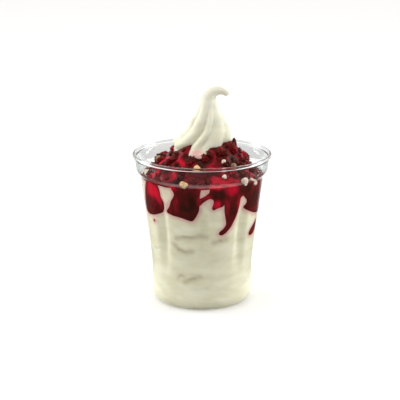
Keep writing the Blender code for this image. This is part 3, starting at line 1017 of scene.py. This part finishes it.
def scatter(template, name, place, size, draw):
    """A turned, squashed copy of a template with its place in its mesh."""
    copied = copy_piece(template, name)
    axis = Vector([draw.uniform(-1, 1) for _ in range(3)]).normalized()
    turn = Matrix.Rotation(draw.uniform(0, math.tau), 4, axis)
    squash = Matrix.Diagonal((*(size * share for share in SQUASH), 1.0))
    copied.data.transform(Matrix.Translation(place) @ turn @ squash)
    return copied


def spike():
    """The tallest berry piece, a rough point that stands up at the right."""
    foot, tip = SPIKE_HEIGHTS
    cone = {"vertices": 9, "radius1": SPIKE_THICKNESS[0], "radius2": SPIKE_THICKNESS[1], "depth": tip - foot}
    cone["location"] = at(SPIKE_AZIMUTH, SPIKE_RADIUS, (foot + tip) / 2)
    point = add_shape("spike", bpy.ops.mesh.primitive_cone_add, **cone)
    edit(point)
    bpy.ops.mesh.subdivide(number_cuts=3)
    bpy.ops.transform.vertex_random(offset=SPIKE_ROUGH, uniform=0.6, normal=0.4, seed=5)
    done()
    round_off(point, 1)
    mark(point, "tone", lambda place: BERRY_TONES[0])
    return point


def build_berries():
    draw = random.Random(BERRY_SEED)
    templates = [drupelet_cluster(number, draw) for number in range(BERRY_KINDS)]
    pieces = [spike()]
    for row, (height, count) in enumerate(BERRY_ROWS):
        for number in range(count):
            azimuth = 360 * (number + 0.5 * (row % 2) + draw.uniform(-BERRY_SHIFT, BERRY_SHIFT)) / count
            level = height + draw.uniform(-BERRY_RISE, BERRY_RISE)
            size = draw.uniform(*BERRY_SIZES)
            reach = BERRY_REACH * size
            free = outer_radius(level - reach / 2) - WALL - reach
            radius = min(heap_radius(azimuth, level) - BERRY_SUNK * size, free)
            berry = scatter(draw.choice(templates), "berry", at(azimuth, radius, level), size, draw)
            tone = draw.choice(BERRY_TONES)
            mark(berry, "tone", lambda point: 0.5 * (tone + heap_tone(point)))
            pieces.append(berry)
    remove(templates)
    berries = join("crushed_raspberries", pieces)
    paint(berries, sauce_finish("crushed_raspberry", specular=0.06, mottling=0.14))
    return berries


# Crumbs


def is_on_wall(height):
    """Whether a crumb lies against the wall, because the heap nearly touches it at this height."""
    return height < COLLAR_FOOT[0]


def crumb_place(azimuth, height, size):
    free = outer_radius(height) - WALL - CRUMB_TO_WALL * CRUMB_RADIUS * size
    on_heap = heap_radius(azimuth, height) + HEAP_UNDER + CRUMB_PROUD
    return at(azimuth, free if is_on_wall(height) else min(on_heap, free), height)


def crumb_pockets():
    """Balls for the hollows that the crumbs against the wall press into what lies there."""
    pockets = []
    for *_, places in CRUMBS:
        for azimuth, height, size in places:
            if is_on_wall(height):
                reach = POCKET_SHARE * CRUMB_RADIUS * size
                middle = crumb_place(azimuth, height, size)
                pockets.append(add_ball("pocket", subdivisions=3, radius=reach, location=middle))
    return pockets


def build_crumbs(cup, kind, seed, one, other, places):
    """Rough bits of nut and biscuit: balls with their corners pushed about, rounded a little."""
    draw = random.Random(seed)
    name = f"{kind}_crumbs"
    template = add_ball(name, subdivisions=2, radius=CRUMB_RADIUS)
    edit(template)
    bpy.ops.transform.vertex_random(offset=CRUMB_ROUGH, uniform=0.7, normal=0.5, seed=seed)
    done()
    round_off(template, 2)
    pieces = [scatter(template, name, crumb_place(*crumb), crumb[2], draw) for crumb in places]
    for piece, (azimuth, height, size) in zip(pieces, places):
        if is_on_wall(height):
            combine(piece, "INTERSECT", [inside_of(cup)])
    remove([template])
    crumbs = join(name, pieces)
    paint(crumbs, crumb_finish(f"{kind}_crumb", one, other))
    return crumbs


# Sauce against the wall


def drip_cutter(points):
    """A closed outline on the wall, rounded and drawn out along the radius through its middle."""
    middle = sum(azimuth for azimuth, height in points) / len(points)
    outwards = at(middle, 1, 0)
    corners = [at(azimuth, outer_radius(mm / 1000) - WALL, mm / 1000) for azimuth, mm in points]
    cutter = draw_wire("drip", corners, closed=True)
    select_all()
    bpy.ops.mesh.subdivide(number_cuts=OUTLINE_CUTS)
    bpy.ops.mesh.vertices_smooth(factor=0.5, repeat=OUTLINE_SMOOTHING)
    select_all()
    bpy.ops.mesh.edge_face_add()
    bpy.ops.transform.translate(value=outwards * CUTTER_OUT)
    bpy.ops.mesh.extrude_region_move(TRANSFORM_OT_translate={"value": outwards * -CUTTER_LENGTH})
    face_outwards()
    done()
    return cutter


def band_cutter():
    """A ring with an uneven lower edge, which leaves the gaps out."""
    inner, outer = BAND_CUTTER_RADII
    low = [(inner, 0, BAND_FOOT), (outer, 0, BAND_FOOT)]
    high = [(outer, 0, BAND_CUTTER_TOP), (inner, 0, BAND_CUTTER_TOP)]
    ring = draw_wire("band", low + high, closed=True)
    spin_round()
    done()
    for vertex in ring.data.vertices:
        if vertex.co.z < BAND_TOP:
            azimuth = azimuth_of(vertex.co)
            vertex.co.z += BAND_UNEVEN * noise.noise(at(azimuth, 1, 0) * BAND_WAVES)
            for middle, half_width in BAND_GAPS:
                vertex.co.z += 2 * (BAND_TOP - BAND_FOOT) * near(azimuth, middle, half_width, 0.6, 1.0)
    return ring


def back_drips():
    """Outlines down one side of each drip, round its foot and up its other side."""
    draw = random.Random(BACK_SEED)
    drips = []
    for middle in BACK_DRIPS:
        width = draw.uniform(6, 10)
        foot = draw.uniform(55, 70)
        sway = draw.uniform(-4, 4)
        drips.append((
            (middle - width, BACK_TOP),
            (middle - width * 0.9 + sway * 0.5, (86 + foot) / 2),
            (middle - width * 0.7 + sway, foot + 3),
            (middle + sway, foot - 2),
            (middle + width * 0.7 + sway, foot + 2),
            (middle + width * 0.9 + sway * 0.4, (84 + foot) / 2),
            (middle + width, BACK_TOP),
        ))
    return drips


def build_wall_sauce(cup):
    sauce = lining_of(cup, "wall_sauce", SAUCE_INTO_WALL, BAND_TOP)
    pick(sauce, "faces", lambda f: f.calc_center_median().z < SAUCE_FOOT)
    bpy.ops.mesh.delete(type="FACE")
    select_all()
    bpy.ops.mesh.solidify(thickness=SAUCE_DEPTH + SAUCE_INTO_WALL)
    face_outwards()
    done()
    first, *others = [drip_cutter(points) for points in (*FRONT_DRIPS, *back_drips())]
    combine(first, "UNION", [*others, band_cutter()])
    combine(sauce, "INTERSECT", [first])
    combine(sauce, "DIFFERENCE", crumb_pockets())
    mark(sauce, "tone", sauce_tone)
    paint(sauce, sauce_finish("sauce_on_the_wall", specular=0.02, mottling=0.16), 40)
    return sauce


# Soft serve


def groove(azimuth, height):
    """How deep the peak's grooves are there, as a share of its radius."""
    turned = azimuth - PEAK_TWIST * (height - VALLEY_HEIGHT)
    deepest = 0.0
    round_again = (VALLEYS[-1] - 360, *VALLEYS, VALLEYS[0] + 360)
    for before, valley, after, depth in zip(round_again, VALLEYS, round_again[2:], VALLEY_DEPTHS):
        away = (turned - valley + 180) % 360 - 180
        half = (after - valley) / 2 if away >= 0 else (valley - before) / 2
        share = min(1.0, abs(away) / half)
        deepest = max(deepest, depth * (1 - math.sin(share * math.pi / 2)))
    return deepest * (1 - GROOVE_LOSS * smooth(height, *GROOVE_LOSS_HEIGHTS))


def spread_at(azimuth, height):
    """How far the foot of the peak spreads over the sauce there."""
    farthest = 0.0
    for middle, half_width, (low, full, top), reach in SPREADS:
        up = smooth(height, low, full) * (1 - smooth(height, full, top))
        farthest = max(farthest, reach * near(azimuth, middle, half_width, 0.35, 1.25) * up)
    return farthest


def peak_ring(height):
    lean = PEAK_LEAN * smooth(height, *PEAK_LEAN_HEIGHTS)
    ridged = smooth(height, *RIDGES_RISE)
    radius = along(PEAK_OUTLINE, height)
    ring = []
    for number in range(CUP_STEPS):
        azimuth = number * STEP
        wobble = PEAK_UNEVEN * noise.noise(at(azimuth, radius, height) * PEAK_BUMPS)
        reach = radius * (1 - ridged * groove(azimuth, height)) + wobble * ridged
        reach += spread_at(azimuth, height)
        if height < UNDER_HEAP:
            reach = min(reach, heap_radius(azimuth, height) - HEAP_COVER)
        ring.append(at(azimuth, reach, height) + Vector((lean, 0, 0)))
    return ring


def curl_ring(share):
    """A ring of the curl, from 0 where it leaves the peak to 1 at its tip."""
    turn = math.radians(CURL_SWEEP) * share
    start_height, start_radius = PEAK_OUTLINE[-1]
    radius = start_radius + (CURL_TIP_RADIUS - start_radius) * share
    across = PEAK_LEAN + CURL_RADIUS * (1 - math.cos(turn))
    middle = Vector((across, 0, start_height + CURL_RADIUS * math.sin(turn)))
    tilt = Matrix.Rotation(turn, 3, "Y")
    along_curl = start_height + CURL_RADIUS * turn
    ring = []
    for number in range(CUP_STEPS):
        azimuth = number * STEP
        ring.append(middle + tilt @ at(azimuth, radius * (1 - groove(azimuth, along_curl)), 0))
    return ring


def place_ring(piece, ring):
    """Moves the ring that was just extruded, and is selected, to its places by azimuth number."""
    shape = bmesh.from_edit_mesh(piece.data)
    for vertex in shape.verts:
        if vertex.select:
            vertex.co = ring[vertex[shape.verts.layers.int["number"]]]
    bmesh.update_edit_mesh(piece.data)


def raise_peak(swirl):
    """Draws the peak and its curl up ring by ring from the open edge of the filling."""
    shape = bmesh.from_edit_mesh(swirl.data)
    numbers = shape.verts.layers.int.new("number")
    for vertex in shape.verts:
        vertex[numbers] = round(azimuth_of(vertex.co) / STEP) % CUP_STEPS
    bmesh.update_edit_mesh(swirl.data)
    pick(swirl, "edges", lambda e: len(e.link_faces) == 1)
    start, end = PEAK_OUTLINE[0][0], PEAK_OUTLINE[-1][0]
    steps = round((end - start) / PEAK_RING_STEP)
    rings = [peak_ring(start + (end - start) * i / steps) for i in range(steps + 1)]
    rings += [curl_ring(i / CURL_STEPS) for i in range(1, CURL_STEPS + 1)]
    for ring in rings:
        bpy.ops.mesh.extrude_edges_move()
        place_ring(swirl, ring)
    bpy.ops.mesh.edge_collapse()


def crease_cutter(points, half_width):
    """A thin tapered tube along the wall."""
    curve = bpy.data.curves.new("crease", "CURVE")
    curve.dimensions = "3D"
    curve.resolution_u = 6
    curve.bevel_depth = 1.0
    curve.bevel_resolution = 2
    curve.use_fill_caps = True
    spline = curve.splines.new("BEZIER")
    spline.bezier_points.add(len(points) - 1)
    for number, (point, (azimuth, height)) in enumerate(zip(spline.bezier_points, points)):
        swell = math.sin(math.pi * number / (len(points) - 1)) ** 0.6
        point.co = at(azimuth, outer_radius(height) - WALL + CREASE_PROUD * half_width, height)
        point.handle_left_type = point.handle_right_type = "AUTO"
        point.radius = half_width * (CREASE_TIP + (1 - CREASE_TIP) * swell)
    added = put_in_scene("crease", curve)
    make_active(added)
    bpy.ops.object.convert(target="MESH")
    edit(added)
    bpy.ops.mesh.remove_doubles(threshold=2 * SEAM)
    face_outwards()
    done()
    return added


def spare_creases():
    """Creases in the manner of the front ones, as CREASES has them."""
    draw = random.Random(SPARE_SEED)
    creases = []
    for number in range(SPARE_CREASES):
        shift = draw.uniform(-SPARE_SHIFT, SPARE_SHIFT)
        azimuth = SPARE_START + SPARE_SWEEP * (number + shift) / SPARE_CREASES
        height = draw.uniform(0.014, 0.062)
        rise = draw.uniform(-0.004, 0.004)
        length_in_degrees = draw.uniform(10, 26)
        bow = draw.uniform(-0.0022, 0.0022)
        half_width = draw.uniform(0.0011, 0.0017)
        points = []
        for step in range(SPARE_POINTS):
            share = step / (SPARE_POINTS - 1)
            bend = bow * math.sin(math.pi * share)
            points.append((azimuth + length_in_degrees * share, height + rise * share + bend))
        if all(apart(place, side) >= SPARE_CLEAR for place, _ in points[::2] for side in (90, -90)):
            creases.append((points, half_width))
    return creases


def build_soft_serve(cup, sauce):
    swirl = lining_of(cup, "soft_serve_swirl", INTO_WALL, FILL_TOP)
    raise_peak(swirl)
    face_outwards()
    done()
    cutters = [crease_cutter(*crease) for crease in (*CREASES, *spare_creases())]
    combine(swirl, "DIFFERENCE", cutters + crumb_pockets())
    mark(swirl, "stain", stain_from(sauce))
    # painted shade in and beside the creases
    mark(swirl, "crease_shade", painted_crease_shade)
    # painted shade: the peak's colours are darker than those of the same soft serve against the wall
    shaded_peak_finish = soft_serve_finish("soft_serve_peak_painted_shade", (0.77, 0.76, 0.615), (0.67, 0.655, 0.50), 0.25)
    on_wall = soft_serve_finish("soft_serve_on_the_wall", (0.91, 0.885, 0.695), (0.80, 0.77, 0.565), 0.03)
    paint(swirl, shaded_peak_finish, 50)
    swirl.data.materials.append(on_wall)
    for face in swirl.data.polygons:
        if face.center.z < FILL_TOP - FILL_EDGE:
            face.material_index = 1
    return swirl


set_camera()
set_world()
set_floor()
set_lights()

clear_cup = build_cup()
wall_sauce = build_wall_sauce(clear_cup)
swirl = build_soft_serve(clear_cup, wall_sauce)
heap = build_heap()
berries = build_berries()
crumbs = [build_crumbs(clear_cup, *kind) for kind in CRUMBS]

finish_piece(clear_cup, "clear_plastic", "cup")
finish_piece(swirl, "soft_serve", "soft_serve")
finish_piece(heap, "raspberry_sauce", "raspberry_topping")
for piece in (wall_sauce, berries, *crumbs):
    finish_piece(piece, "raspberry_sauce")
